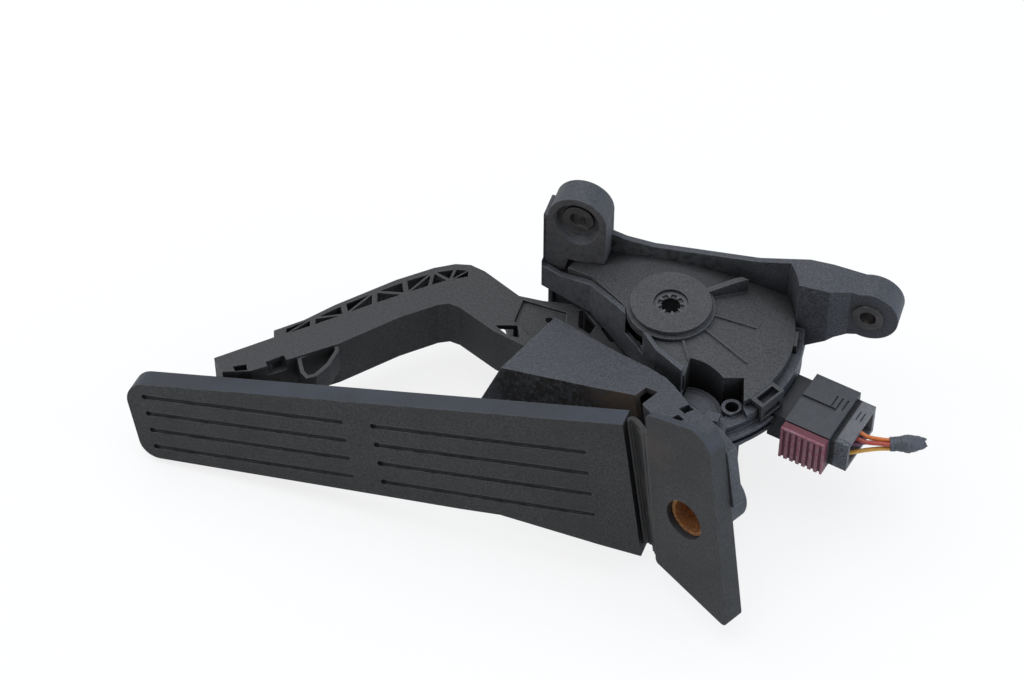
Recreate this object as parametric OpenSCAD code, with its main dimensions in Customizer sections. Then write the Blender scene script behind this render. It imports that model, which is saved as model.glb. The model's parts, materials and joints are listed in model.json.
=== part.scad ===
// Floor-mounted accelerator pedal module.
// X is the driver's right, Y points forward to the bulkhead, Z is up.
// The main pivot is worked out first; place() then moves the whole part so that
// the upper ear's bore, at the bulkhead face, is the origin.

/* [Pedal pad] */
// Length of the pad from the film hinge to its free end
pad_length = 218; // [200:1:230]
// Width of the pad at the film hinge
pad_width_low = 65; // [58:1:70]
// Width of the pad at its free end
pad_width_top = 37; // [32:1:44]
// Thickness of the pad
pad_thick = 10; // [8:0.5:12]
// Thickness of the pad's front skin
pad_skin = 3.5; // [3:0.1:4.5]
// Corner radius of the pad's free end
pad_corner = 9; // [6:0.5:12]
// Width of one tread groove
groove_w = 2; // [1.5:0.1:3]
// Depth of one tread groove
groove_depth = 1; // [0.6:0.1:1.4]
// Spacing of the tread grooves at the free end
groove_pitch = 8.4; // [7.5:0.1:9]

/* [Pedal bracket] */
// Turn of the pad and foot plate about the upright axis
pad_yaw = 12; // [10:1:14]
// Sideways lean of the pad
pad_lean = 12; // [10:1:14]
// Bend between the pad and the foot plate
foot_bend = 27; // [24:1:30]
// Thickness of the foot plate
foot_thick = 9; // [8:0.5:11]
// Length of the foot plate along the hinge line
foot_length = 96; // [90:1:100]
// Depth of the foot plate from its hinge edge to its far edge
foot_depth = 34; // [32:1:38]
// Thickness of the film hinge
film_thick = 1.2; // [0.8:0.1:1.6]
// Distance of the film hinge behind the pad's front face
film_inset = 6; // [5:0.25:7]
// Wall of the hood and bracket
bracket_wall = 2.6; // [2.2:0.1:3.2]
// Depth of the bracket below its side plate
bracket_depth = 60; // [54:1:64]

/* [Housing] */
// Radius of the housing rim about the main pivot
rim_radius = 55.5; // [54:0.5:58]
// Wall of the housing
housing_wall = 2.5; // [2:0.1:3]
// Thickness of the friction ring under the lever
friction_thick = 3.1; // [2.6:0.1:4]
// Thickness of the sensor cover
cover_thick = 2.2; // [1.8:0.1:2.6]
// Radius of the hub disc on the cover
hub_radius = 16.7; // [15.5:0.1:18]
// Fall of the cover from the hub disc to its rim
cover_fall = 8; // [6:0.5:9]
// Thickness of the flange at the ears
ear_thick = 12; // [10:0.5:14]
// Outer radius of the ears
ear_radius = 12.5; // [11.5:0.25:13.5]
// Bore of the steel bush in each ear
ear_bore = 7; // [6.4:0.1:8]
// Outer diameter of the steel bush in each ear
ear_bush_d = 13; // [11:0.5:14]

/* [Lever] */
// Depth of the lever arm
lever_depth = 24; // [20:1:26]
// Distance of the lever's upper face below the hub's top face
lever_drop = 30; // [28:0.5:32]
// Thickness of the lever's flanges and ribs
lever_wall = 2.6; // [2:0.1:3]
// Diameter of the pivot shaft
shaft_d = 8; // [7:0.5:9]
// Wall of the plain bearings on the shaft
bearing_wall = 1.8; // [1.4:0.1:2]

/* [Connector] */
// Width of the plug
plug_width = 33; // [30:0.5:35]
// Length of the plug body
plug_length = 20; // [18:0.5:22]
// Height of the plug
plug_height = 18; // [16:0.5:19]
// Thickness of the lock slide
lock_thick = 4; // [3.5:0.25:5]
// Diameter of one wire
wire_d = 1.8; // [1.6:0.1:2]

/* [Hidden] */

$fn = 64;
eps = 0.01;
big = 400;

// Clearances
seat_gap = 0.3;
slide_gap = 0.4;
bearing_gap = 0.04;

// Upper ear and lower ear, as X and Z about the main pivot
ear_back = 32;
upper_ear = [12.5, 46.5];
lower_ear = [-3.5, -78];
ear_front = ear_back - ear_thick;
frame_top = upper_ear[1] + ear_radius + 2;

// Film hinge line: its upper end, seen from the main pivot
hinge = [4, -72.3, -1.8];

// Levels along the pivot axis, from the hub's top face downwards
lever_top = -lever_drop;
lever_low = lever_top - lever_depth;
floor_top = lever_low - slide_gap - friction_thick;
housing_depth = housing_wall - floor_top;
cover_hub_face = -4;
cover_rim_face = cover_hub_face - cover_fall;
cover_skirt = 4;
pan_top = cover_rim_face - cover_skirt;
rim_low = pan_top - 12;
pan_low = -38;
pan_radius = rim_radius - 3;
cover_radius = pan_radius - 1;
boss_pan_radius = 31;

black = [0.1, 0.105, 0.115];
dark = [0.075, 0.078, 0.085];

// Puts the upper ear's bore, at the bulkhead face, on the origin
module place() {
    translate([-upper_ear[0], -ear_back, -upper_ear[1]]) children();
}

// Frames of the pad and of the foot plate
module in_pad_frame() {
    translate(hinge) rotate([0, -pad_lean, pad_yaw]) children();
}

module in_foot_frame() {
    in_pad_frame() rotate([-foot_bend, 0, 0]) children();
}

// Extrudes a Y, Z outline along X from x0 to x1
module along_x(x0, x1) {
    translate([x0, 0, 0]) rotate([90, 0, 90]) linear_extrude(height = x1 - x0) children();
}

// Extrudes an X, Z outline along Y from y0 to y1
module along_y(y0, y1) {
    translate([0, y1, 0]) rotate([90, 0, 0]) linear_extrude(height = y1 - y0) children();
}

// Cylinder along X and along Y
module rod_x(r, x0, x1) {
    translate([x0, 0, 0]) rotate([0, 90, 0]) cylinder(r = r, h = x1 - x0);
}

module rod_y(r, y0, y1) {
    translate([0, y1, 0]) rotate([90, 0, 0]) cylinder(r = r, h = y1 - y0);
}

function arc_points(r, a0, a1, n) = [for (i = [0:n]) let (a = a0 + (a1 - a0) * i / n) [r * cos(a), r * sin(a)]];

// Outline of the driver's side wall of the housing, from the foot up to the upper ear
front_wall_line = [[-43, -34], [-33, -14], [-25.5, -1], [-15, 9], [-1, 25], [9, 37], [17.8, frame_top]];
// Top of the front wall beside the hub, and at the upper ear
front_wall_top = [-2, -19];
wall_top_slope = [10, 60];
function shifted(points, d) = [for (p = points) [p[0] + d, p[1]]];

// Fan about the main pivot, closed by the front wall and the flange
module fan_outline(r, inset) {
    intersection() {
        union() {
            circle(r = r, $fn = 96);
            square([ear_back, frame_top]);
        }
        polygon(concat(shifted(front_wall_line, inset), [[ear_back - inset, frame_top - inset],
            [ear_back - inset, -big], [-60, -big], [-60, -34 - inset]]));
    }
}

// Flange that carries both ears, in X and Z
module flange_outline() {
    union() {
        translate(lower_ear) circle(r = ear_radius);
        polygon([[1, 38], [-1.5, 28], [-2, 16], [3.5, -29], [9.3, -50], [9.5, -60],
            [lower_ear[0] + ear_radius - 1, lower_ear[1] + 2], [lower_ear[0] - ear_radius + 1, lower_ear[1] + 3],
            [-18, -65], [-26, -53], [-housing_depth, -50], [-housing_depth, frame_top], [-26, frame_top], [-26, 38]]);
    }
}

// Thickness of the flange, in Y and Z
module flange_profile() {
    polygon([[ear_back, frame_top], [ear_back - 4, frame_top], [ear_back - 4, 12], [ear_back - 9, -32], [ear_back - 15.5, -49],
        [ear_back - 15.5, -62], [ear_front, -70], [ear_front, -95], [ear_back, -95]]);
}

module flange() {
    difference() {
        intersection() {
            along_y(ear_front - 6, ear_back) flange_outline();
            along_x(-80, 40) flange_profile();
        }
        flange_pockets();
    }
}

// Everything in front of the flange's front face
module in_front_of_flange(gap) {
    along_x(-80, 40) difference() {
        translate([-100, -100]) square([200, 200]);
        offset(delta = gap) flange_profile();
    }
}

// Moulding pockets in the back of the flange, with ribs left between them
module flange_pockets() {
    rib = 2.2;
    cell = 9;
    skin = 3;
    intersection() {
        along_y(0, ear_back + 1) for (i = [0:4]) {
            translate([-14 - 2 * i, -64 + i * cell]) square([19 + i, cell - rib]);
        }
        along_x(-40, 20) difference() {
            translate([skin, 0]) flange_profile();
            circle(r = pan_radius);
        }
    }
}

// Pillar and round head of the upper ear
module upper_ear_body() {
    along_y(ear_front, ear_back) {
        translate(upper_ear) circle(r = ear_radius);
        translate([-26, upper_ear[1] - ear_radius]) square([26 + upper_ear[0], 2 * ear_radius + 2]);
    }
}

module upper_ear_recess() {
    recess = 3;
    along_y(ear_front - 1, ear_front + recess) {
        translate(upper_ear) circle(r = ear_radius - 3.2);
    }
    // Shallow dish below the ring
    along_y(ear_front - 1, ear_front + recess / 4) {
        translate([upper_ear[0] - 3, upper_ear[1]]) circle(r = ear_radius - 1.6);
    }
}

// Housing pan round the lever's boss
module pan() {
    difference() {
        union() {
            along_x(-housing_depth, pan_top) fan_outline(boss_pan_radius, 0);
            along_x(pan_low, pan_top) fan_outline(pan_radius, 0);
            along_x(rim_low, pan_top) fan_outline(rim_radius, 0);
            front_wall();
        }
        pan_inside();
    }
}

// Raised front wall, cut down towards the upper ear
module front_wall() {
    difference() {
        along_x(pan_top - 1, front_wall_top[0]) difference() {
            fan_outline(big, 0);
            fan_outline(big, housing_wall);
            translate([-60, -big]) square([big, big - 14]);
        }
        along_y(-60, 60) polygon([[front_wall_top[0], wall_top_slope[0]], [front_wall_top[1], wall_top_slope[1]],
            [10, wall_top_slope[1] + 5], [10, wall_top_slope[0]]]);
    }
}

module pan_inside() {
    along_x(floor_top, 10) fan_outline(boss_pan_radius - housing_wall, housing_wall);
    along_x(pan_low + housing_wall, 10) fan_outline(pan_radius - housing_wall, housing_wall);
}

// Outline of the bracket's side plate, in the pad's Y and Z
side_plate = [[34.8, 63], [73.5, 51.5], [51, 18], [42, 2.6], [35.1, -7], [30.4, -11.4], [17.7, -21.6], [10.5, -30.4], [3.8, -37.4],
    [-8, -47], [-12, -45], [4, -15], [9, -9], [22, 2.6], [26, 23.6]];
// The part of it that goes the full depth
deep_plate = [[34.8, 63], [44, 60], [40, 3], [35.1, -7], [30.4, -11.4], [16, -22], [-4, -31], [4, -15], [9, -9], [22, 2.6],
    [26, 23.6]];
foot_plate_depth = 27;
foot_side = [[30.4, -11.4], [17.7, -21.6], [10.5, -30.4], [3.8, -37.4], [-8, -47], [-17.8, -42], [-4, -16],
    [3.6, -15.4], [8.6, -9.2], [21.6, 2.4]];
hood_depth = 21;

// Hood over the lever: its tip slants outwards from the top face to the lower edge
hood_tip = 13.8;
module hood(inset) {
    outline = concat([[38.4, 79], [77.6, 68]], [for (i = [1:len(side_plate) - 1]) side_plate[i]]);
    difference() {
        along_x(inset > 0 ? -big : -hood_depth, -1 - inset) offset(delta = -inset) polygon(outline);
        translate([0, side_plate[0][0], side_plate[0][1] - inset]) rotate([-16.5, 0, 0])
            along_y(-40, 80) polygon([[8, 0], [-1, 0], [-hood_depth, hood_tip], [-hood_depth, 60], [8, 60]]);
    }
}

module bracket() {
    in_pad_frame() difference() {
        union() {
            along_x(-bracket_depth, -1) polygon(deep_plate);
            hood(0);
            along_x(-foot_plate_depth, -1) polygon(foot_side);
        }
        for (outline = [deep_plate, foot_side]) {
            along_x(-big, -1 - bracket_wall) offset(delta = -bracket_wall) polygon(outline);
        }
        hood(bracket_wall);
        bracket_windows();
    }
}

// Two square windows and the moulding slot in the side plate
window = 4.6;
module bracket_windows() {
    for (p = [[14.9, -20.9], [7.7, -18.7]]) {
        translate([-10, p[0], p[1]]) rotate([45, 0, 0]) cube([20, window, window], center = true);
    }
    translate([-10, 22, -1.5]) rotate([-25, 0, 0]) cube([20, 10, 6.5], center = true);
}

// Screw hole of the foot plate
foot_hole = [-35.6, -26];
foot_hole_r = 9;
sleeve_wall = 1.4;
sleeve_r = foot_hole_r - 0.1;
sleeve_bore = 7;
sleeve_recess = 3;
sleeve_len = 18;
sleeve_floor = 3;
sleeve_seat = 3;

module foot_boss() {
    in_foot_frame() translate([foot_hole[0], 0, foot_hole[1]])
        rod_y(foot_hole_r + 3, foot_thick, sleeve_recess + sleeve_len + sleeve_seat);
}

module frame_cuts() {
    // Everything in front of the foot plate's seat
    in_foot_frame() {
        translate([-120, -60 + foot_thick, -80]) cube([120 + foot_lip_x + seat_gap, 60, 78]);
        translate([-120, -60 + foot_lip, -80]) cube([160, 60, 78]);
        translate([-120, -60 + foot_thick, -80]) cube([160, 60, 80 + foot_lip_end + seat_gap]);
    }
    in_foot_frame() translate([foot_hole[0], 0, foot_hole[1]])
        rod_y(foot_hole_r, -1, sleeve_recess + sleeve_len);
    in_foot_frame() translate([foot_hole[0], 0, foot_hole[1]])
        rod_y(sleeve_bore / 2 + 1, 0, foot_thick + 40);
    for (e = [upper_ear, lower_ear]) {
        translate([e[0], 0, e[1]]) rod_y(ear_bush_d / 2, ear_front - 12, ear_back + 5);
    }
    // Seat of the sensor cover
    along_x(pan_top, 10) fan_outline(cover_radius + seat_gap, housing_wall);
    rod_x(hub_radius + hub_step + seat_gap, pan_top, 10);
    upper_ear_recess();
    lever_window();
}

// Opening in the front wall that the lever swings through
window_gap = 2;
module lever_window() {
    along_x(lever_low - window_gap, lever_top + window_gap)
        polygon([[-47, -3], [-16, 2], [ear_back - 5, 14], [ear_back - 4, 64], [-37.6, 64]]);
}

module main_frame() {
    color(black) {
        difference() {
            union() {
                flange();
                upper_ear_body();
                pan();
                bracket();
                foot_boss();
                frame_link();
                latch_lugs();
                rim_lips();
                flange_rib();
            }
            pan_inside();
            frame_cuts();
            tab_pocket();
            along_x(low_rim_top, 5) intersection() {
                notch_shape();
                fan_outline(big, -eps);
            }
        }
        shaft_socket();
        corner_drum();
        translate([low_rim_top - 1, -44.5, -32.6]) cube([6, 4.5, 5.6]);
    }
}

// Raised floor of the corner, with the stepped drum and an open tube on it
drum_pos = [-40, -18];
drum_steps = [[15.6, -20.4], [13.4, -19.6], [11.2, -18.8], [9, -19.4]];
tube_pos = [-32.5, -35.5];
module corner_drum() {
    difference() {
        intersection() {
            union() {
                along_x(floor_top - eps, notch_floor) notch_shape();
                translate([0, drum_pos[0], drum_pos[1]]) for (d = drum_steps) {
                    rod_x(d[0], notch_floor - 1, d[1]);
                }
                translate([0, tube_pos[0], tube_pos[1]]) rod_x(4.2, notch_floor - 1, -17);
            }
            along_x(-housing_depth, 0) fan_outline(pan_radius - 1, 1);
            along_x(-housing_depth, 0) offset(delta = -0.5) notch_shape();
        }
        translate([0, tube_pos[0], tube_pos[1]]) rod_x(2.8, notch_floor - 4, 0);
        rod_x(boss_pan_radius - housing_wall, floor_top - 1, pan_low + housing_wall);
    }
}

// Thin lips round the low corner of the rim
module rim_lips() {
    intersection() {
        for (x = [-22.4, -26.4]) {
            rod_x(rim_radius + 3.5, x - 1.6, x);
        }
        along_x(-60, 0) polygon([[-25, -30], [-30, -70], [-60, -60], [-48, -34]]);
        in_front_of_flange(0);
    }
}

// Top of the rim and of the link beside the drum
low_rim_top = -19;

// Short rib on the flange's front face, above the hub
module flange_rib() {
    translate([-10, ear_back - 9, 2.4]) cube([11, 5.5, 1.3]);
}

// Solid web that joins the bracket to the pan
module frame_link() {
    along_x(-housing_depth, low_rim_top) polygon([[-58, -36], [-43, -36], [-30, -8], [-34, 4], [-52, 4]]);
}

// Blind socket for the pivot shaft in the housing floor
shaft_socket_wall = 2.4;
module shaft_socket() {
    difference() {
        rod_x(shaft_d / 2 + shaft_socket_wall, floor_top - eps, floor_top + 3);
        rod_x(shaft_d / 2 + bearing_gap, floor_top - 1, floor_top + 4);
    }
}

// Sensor cover: a shallow cone with a hub disc, radial ribs and snap loops
star_bore = 7.1;
hub_step = 1.6;
module cover_profile() {
    polygon([[0, cover_hub_face], [hub_radius - 1, cover_hub_face], [cover_radius, cover_rim_face],
        [cover_radius, pan_top + seal_height], [cover_radius - cover_thick, pan_top + seal_height],
        [cover_radius - cover_thick, cover_rim_face - cover_thick],
        [hub_radius - 1, cover_hub_face - cover_thick], [0, cover_hub_face - cover_thick]]);
}

module revolved_x() {
    rotate([0, 90, 0]) rotate_extrude($fn = 96) children();
}

// Height of the cover's cone at a distance from the pivot, and how deep its ribs and walls lap into it
function cone_at(r) = cover_hub_face - cover_fall * max(0, r - hub_radius + 1) / (cover_radius - hub_radius + 1);
lap = 0.8;

// The cover stops short of the corner drum here
notch = [[-60, -18], [-40, -18], [-25.2, -29.8], [-21.9, -37.3], [-33.1, -40.4], [-60, -62]];
notch_r = 18.7;
notch_end = -14.5;
notch_floor = -26;
module notch_shape() {
    intersection() {
        translate(drum_pos) circle(r = notch_r);
        translate([-big, notch_end - big]) square([big, big]);
    }
    polygon(notch);
}

module cover_outline(inset) {
    difference() {
        fan_outline(cover_radius, housing_wall + seat_gap + inset);
        offset(delta = inset) notch_shape();
    }
}

module cover_shell() {
    intersection() {
        revolved_x() cover_profile();
        along_x(-40, 20) fan_outline(cover_radius, housing_wall + seat_gap);
    }
}

// Wall that closes the cover along the notch
module cover_skirt_wall() {
    wall = 1.6;
    intersection() {
        along_x(notch_floor + seat_gap, 0) offset(delta = wall) notch_shape();
        revolved_x() polygon([[0, -big], [0, cone_at(0) - lap], [hub_radius, cone_at(hub_radius) - lap],
            [pan_radius, cone_at(pan_radius) - lap], [pan_radius, -big]]);
        along_x(-big, 0) fan_outline(pan_radius - housing_wall - seat_gap, housing_wall + 2 * seat_gap);
    }
}

// Snap loop on the rim, over a lug of the housing, and a tab in the rim's pocket
latch_turn = 152;
tab_turn = 188;
latch_w = 13;
tab_w = 8;
latch_low = pan_top - 5.6;
latch_out = rim_radius + 2.2;
module cover_latches() {
    bar = 1.8;
    top = cover_rim_face - lap / 2;
    under = pan_top + seal_height + lap / 2;
    out = latch_out - cover_radius;
    rotate([latch_turn, 0, 0]) translate([latch_low, -latch_w / 2, cover_radius]) difference() {
        translate([0, 0, -lap]) cube([top - latch_low, latch_w, out + lap]);
        translate([-1, -1, -2 * lap]) cube([under - latch_low + 1, latch_w + 2, rim_radius - cover_radius + 3 * lap]);
        translate([bar / 2, bar, 1.2]) cube([big, latch_w - 2 * bar, out - bar / 2 - 1.2]);
        translate([bar / 2, bar, 1.2]) cube([3.6, latch_w - 2 * bar, big]);
    }
    rotate([tab_turn, 0, 0]) {
        translate([pan_top - 4, -tab_w / 2, cover_radius + 0.2]) cube([top + 4 - pan_top, tab_w, 1.2]);
        translate([under, -tab_w / 2, cover_radius - lap]) cube([top - under, tab_w, lap + 1]);
    }
}

module latch_lugs() {
    rotate([latch_turn, 0, 0]) translate([latch_low + 1.6, -latch_w / 2 + 3, rim_radius - 2]) cube([1.8, latch_w - 6, 3]);
}

module tab_pocket() {
    rotate([tab_turn, 0, 0]) translate([pan_top - 6, -tab_w / 2 - 1, pan_radius - housing_wall - 1])
        cube([10, tab_w + 2, housing_wall + 1.4]);
}

// Turn about the pivot and length of each fine rib, from the hub's edge
cover_rib = [[186.5, 20], [158, 24], [122, 12]];
module cover_ribs() {
    rib_w = 1.1;
    rib_up = 0.9;
    intersection() {
        for (r = cover_rib) {
            rotate([r[0], 0, 0]) translate([-30, -rib_w / 2, hub_radius - 1]) cube([60, rib_w, r[1]]);
        }
        revolved_x() translate([0, rib_up]) cover_profile();
        along_x(-40, 20) cover_outline(0.2);
    }
}

// Stiffening gusset between the hub disc and the flange
gusset_turn = -137;
gusset_top = [[-2, hub_radius + 21.3], [-0.6, hub_radius + 13.3], [-0.6, hub_radius - 2]];
gusset_base = [for (r = [hub_radius - 2, hub_radius + 21.3]) [0, r]];
module cover_gusset() {
    thick = 2.4;
    intersection() {
        rotate([gusset_turn, 0, 0]) rotate([90, 0, 0]) translate([0, 0, -thick / 2]) linear_extrude(height = thick)
            polygon([for (p = gusset_base) [cone_at(p[1]) - lap, p[1]], for (p = gusset_top) p]);
        along_x(-40, 20) cover_outline(lap);
        in_front_of_flange(seat_gap);
    }
}

module sensor_cover() {
    color(black) difference() {
        union() {
            cover_shell();
            cover_ribs();
            cover_gusset();
            cover_skirt_wall();
            cover_latches();
            rod_x(hub_radius, cover_hub_face - cover_thick, 0);
            rod_x(hub_radius + hub_step, cover_hub_face - cover_thick, -2.4);
        }
        along_x(-80, 40) notch_shape();
        rod_x(star_bore, -2.2, 1);
        rod_x(shaft_d / 2 + bearing_gap, -20, 1);
    }
}

// Push-on star ring over the shaft's end
module star_ring() {
    ring_t = 0.8;
    fingers = 8;
    color([0.17, 0.175, 0.19]) difference() {
        rod_x(star_bore - 0.05, -2.2, -2.2 + ring_t);
        rod_x(shaft_d / 2 - 0.3, -3, 0);
        for (i = [0:fingers - 1]) {
            rotate([i * 360 / fingers, 0, 0]) translate([-4, -1.2, 0]) cube([5, 2.4, star_bore - 1.6]);
        }
    }
}

shaft_top = -3;
module pivot_shaft() {
    color([0.55, 0.56, 0.58]) rod_x(shaft_d / 2, floor_top, shaft_top);
}

// Lever arm: outline of its upper face in Y and Z
lever_back = [[-62, 178], [-43.5, 158.6], [-40, 160], [-30.4, 150], [-18.4, 140.7], [3.2, 121], [14.8, 108],
    [19.8, 100], [21.3, 93.6], [19.6, 86.7], [10.5, 68.5], [10.9, 58], [13, 45], [14, 22]];
lever_front = [[-12, 14], [-14, 40], [-15.6, 58.8], [-12, 71.8], [-3.3, 90.6], [-2.7, 95.3], [-5.1, 99.8],
    [-17.2, 113], [-38.9, 132], [-64, 161], [-68, 172]];
strip_line = [[-43.4, 157.2], [-29.8, 140.9], [-12.7, 123.1], [1.5, 107.4], [12, 95.8], [17.9, 85.2]];
boss_r = shaft_d / 2 + bearing_wall + 4;
boss_top = -15;

module lever_outline() {
    union() {
        circle(r = boss_r + 3);
        polygon(concat(lever_front, lever_back, [[10, -2], [-10, -2]]));
    }
}

module lever_arm() {
    color(black) difference() {
        union() {
            difference() {
                along_x(lever_low, lever_top) lever_outline();
                lever_hollow();
                truss_pockets();
                lever_holes();
                shoe_block(seat_gap);
            }
            rod_x(boss_r, lever_low, boss_top);
            lever_hook();
        }
        rod_x(shaft_d / 2 + bearing_wall, lever_low - 1, boss_top + 1);
    }
}

// Curved lip on the arm's front edge
hook_line = [[-50, 146], [-57.5, 141.5], [-60, 138], [-57.5, 134.5], [-50, 131.5], [-41, 130.5], [-36, 134]];
module lever_hook() {
    lip = 1.6;
    along_x(lever_top - 13, lever_top - 1) difference() {
        polygon(hook_line);
        offset(delta = -lip) polygon(hook_line);
        polygon(concat(lever_front, lever_back));
    }
}

// The arm is open from below, with a web under its upper face
module lever_hollow() {
    along_x(lever_low - 1, lever_top - lever_wall) difference() {
        offset(delta = -lever_wall) polygon(concat(lever_front, lever_back));
        circle(r = boss_r + 3);
        for (p = [[[-14, 60], [14, 75]], [[0, 100], [16, 88]], [[-30, 128], [-8, 130]], [[-52, 148], [-34, 152]],
                [[-14, 40], [12, 40]]]) {
            hull() {
                translate(p[0]) circle(r = lever_wall / 2, $fn = 12);
                translate(p[1]) circle(r = lever_wall / 2, $fn = 12);
            }
        }
    }
}

// Triangular pockets along the arm's back edge
truss_depth = 9;
function between(a, b, t) = a + (b - a) * t;
module truss_pockets() {
    outer = [[-38, 156.5], [-28.5, 147], [-17, 137.6], [-6, 127.4], [4, 117.5], [12.5, 107.5], [17.5, 99], [18.6, 93]];
    inner = [[-41, 155], [-32.5, 145.6], [-22, 134.6], [-13, 125], [-3, 114.2], [4, 106.2], [10, 99], [14.5, 92]];
    along_x(lever_top - truss_depth, lever_top + 1) for (i = [0:6]) {
        a = i % 2 == 0 ? inner[i] : outer[i];
        b = i % 2 == 0 ? outer[i + 1] : inner[i + 1];
        c = i % 2 == 0 ? inner[i + 1] : outer[i + 1];
        d = i % 2 == 0 ? outer[i] : inner[i];
        m = (a + b + c) / 3;
        polygon([for (q = [a, b, c]) between(m, q, 0.74)]);
        n = (a + b + d) / 3;
        polygon([for (q = [a, b, d]) between(n, q, 0.74)]);
    }
}

// Diamond holes, two slots near the tip and the see-through hole
module lever_holes() {
    along_x(lever_low - 1, lever_top + 1) {
        polygon([[10.5, 42], [11, 40], [4.2, 32.6], [-1, 33.7], [1.3, 39.6]]);
        polygon([[11, 28.2], [11.4, 23.2], [8.1, 22.4], [-2, 22.5], [-2.7, 24.4], [3.2, 30.1]]);
        translate([2.5, 52.5]) circle(r = 1.6);
    }
    along_x(lever_top - 6, lever_top + 1) {
        polygon([[-57.5, 157], [-51.5, 151.2], [-54.8, 148], [-60.5, 154]]);
        polygon([[-64, 169], [-61, 164], [-64, 162.5], [-66, 167]]);
    }
    // Pocket beside the elbow and the sunk panel round the through hole
    along_x(lever_top - 12, lever_top + 1) polygon([[-8.5, 73], [-5.6, 64], [-12, 61], [-12.4, 66]]);
    along_x(lever_top - 1.4, lever_top + 1) {
        polygon([[8.8, 66], [7.6, 46.5], [-4, 44], [-9.5, 57], [-4, 66]]);
    }
}

// Sliding shoe at the arm's tip, behind the pad
shoe_z = 168;
shoe_r = 11;
shoe_size = [20, 12, 12];
module shoe_block(gap) {
    in_pad_frame() translate([-10 - shoe_size[0] - gap, pad_thick + slide_gap - gap, shoe_z - shoe_size[2] / 2 - gap])
        cube(shoe_size + 2 * gap * [1, 1, 1]);
}

module lever_shoe() {
    color(dark) intersection() {
        shoe_block(0);
        in_pad_frame() translate([0, pad_thick + slide_gap + shoe_r, shoe_z]) rod_x(shoe_r, -40, 0);
    }
}

module magnet_rotor() {
    color([0.3, 0.3, 0.32]) difference() {
        rod_x(boss_r, boss_top, boss_top + 3.5);
        rod_x(shaft_d / 2 + 0.4, boss_top - 1, boss_top + 5);
    }
}

module pivot_bearings() {
    color([0.62, 0.52, 0.3]) for (x0 = [lever_low, boss_top - 8]) {
        difference() {
            rod_x(shaft_d / 2 + bearing_wall, x0, x0 + 8);
            rod_x(shaft_d / 2 + bearing_gap, x0 - 1, x0 + 9);
        }
    }
}

module friction_ring() {
    color([0.42, 0.33, 0.2]) difference() {
        rod_x(boss_r + 2, floor_top, lever_low - slide_gap);
        rod_x(shaft_d / 2 + shaft_socket_wall + seat_gap, floor_top - 1, lever_low);
    }
}

// Coil of round wire about the pivot axis
function coil_ring(r, w, a, x, sides) = [for (k = [0:sides - 1]) let (b = 360 * k / sides)
    [x + w * sin(b), (r + w * cos(b)) * cos(a), (r + w * cos(b)) * sin(a)]];
module coil(r, w, x0, x1, turns) {
    sides = 8;
    steps = 18 * turns;
    points = [for (i = [0:steps]) each coil_ring(r, w, 360 * turns * i / steps, x0 + (x1 - x0) * i / steps, sides)];
    faces = concat([[for (k = [sides - 1:-1:0]) k]],
        [for (i = [0:steps - 1]) for (k = [0:sides - 1]) let (a = i * sides + k, b = i * sides + (k + 1) % sides)
            [a, b, b + sides, a + sides]],
        [[for (k = [0:sides - 1]) steps * sides + k]]);
    polyhedron(points = points, faces = faces, convexity = 8);
}

spring_low = lever_top + 1.5;
spring_high = boss_top - 3;
module return_spring_outer() {
    color([0.5, 0.52, 0.55]) coil(boss_r + 3.6, 1, spring_low, spring_high, 3);
}

module return_spring_inner() {
    color([0.5, 0.52, 0.55]) coil(boss_r + 1.4, 0.7, spring_low, spring_high, 4);
}

board_top = boss_top + 1.6;
module circuit_board() {
    color([0.12, 0.3, 0.2]) along_x(board_top - 1.6, board_top) difference() {
        fan_outline(cover_radius - cover_thick - 4, housing_wall + 3);
        circle(r = boss_r + 1.5);
        translate([-60, 8]) square([120, 80]);
        offset(delta = 2.2) notch_shape();
    }
}

// Connector frame: origin in the middle of the plug's mating face, at its upper face
plug_turn = -13;
plug_pos = [-20, -18, -rim_radius - 4.2];
socket_len = 10;
module in_plug_frame() {
    translate(plug_pos) rotate([plug_turn, 0, 0]) children();
}

socket_w = plug_width - lock_thick - 5;
socket_h = plug_height - 4;
socket_wall = 1.5;
socket_y = -plug_width / 2 + lock_thick + 2.5;
socket_in = 8;
plug_wall = 1.6;
module connector_socket() {
    color(dark) difference() {
        in_plug_frame() difference() {
            translate([-plug_height + 2, socket_y, -socket_in]) cube([socket_h, socket_w, socket_len + socket_in]);
            translate([-plug_height + 2 + socket_wall, socket_y + socket_wall, -socket_in - 1])
                cube([socket_h - 2 * socket_wall, socket_w - 2 * socket_wall, socket_in + 1]);
        }
        along_x(-80, 10) circle(r = rim_radius + seat_gap);
    }
}

pin_pitch = 3.2;
pin_w = 0.8;
module contact_pins() {
    color([0.78, 0.66, 0.35]) in_plug_frame() for (i = [0:5]) {
        translate([-plug_height / 2 - pin_w / 2, socket_y + socket_w / 2 + (i - 2.5) * pin_pitch - pin_w / 2, -6])
            cube([pin_w, pin_w, 6]);
    }
}

seal_height = 1.2;
module cover_seal() {
    color([0.2, 0.2, 0.2]) along_x(pan_top, pan_top + seal_height) intersection() {
        difference() {
            circle(r = cover_radius, $fn = 96);
            circle(r = pan_radius - housing_wall + 0.2, $fn = 96);
        }
        difference() {
            fan_outline(cover_radius, housing_wall + seat_gap);
            offset(delta = 2) notch_shape();
        }
    }
}

module ear_bushes() {
    color([0.5, 0.47, 0.43]) for (e = [upper_ear, lower_ear]) {
        translate([e[0], 0, e[1]]) difference() {
            rod_y(ear_bush_d / 2, ear_front + (e == upper_ear ? 1.5 : -1), ear_back);
            rod_y(ear_bore / 2, ear_front - 5, ear_back + 1);
        }
    }
}

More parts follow.
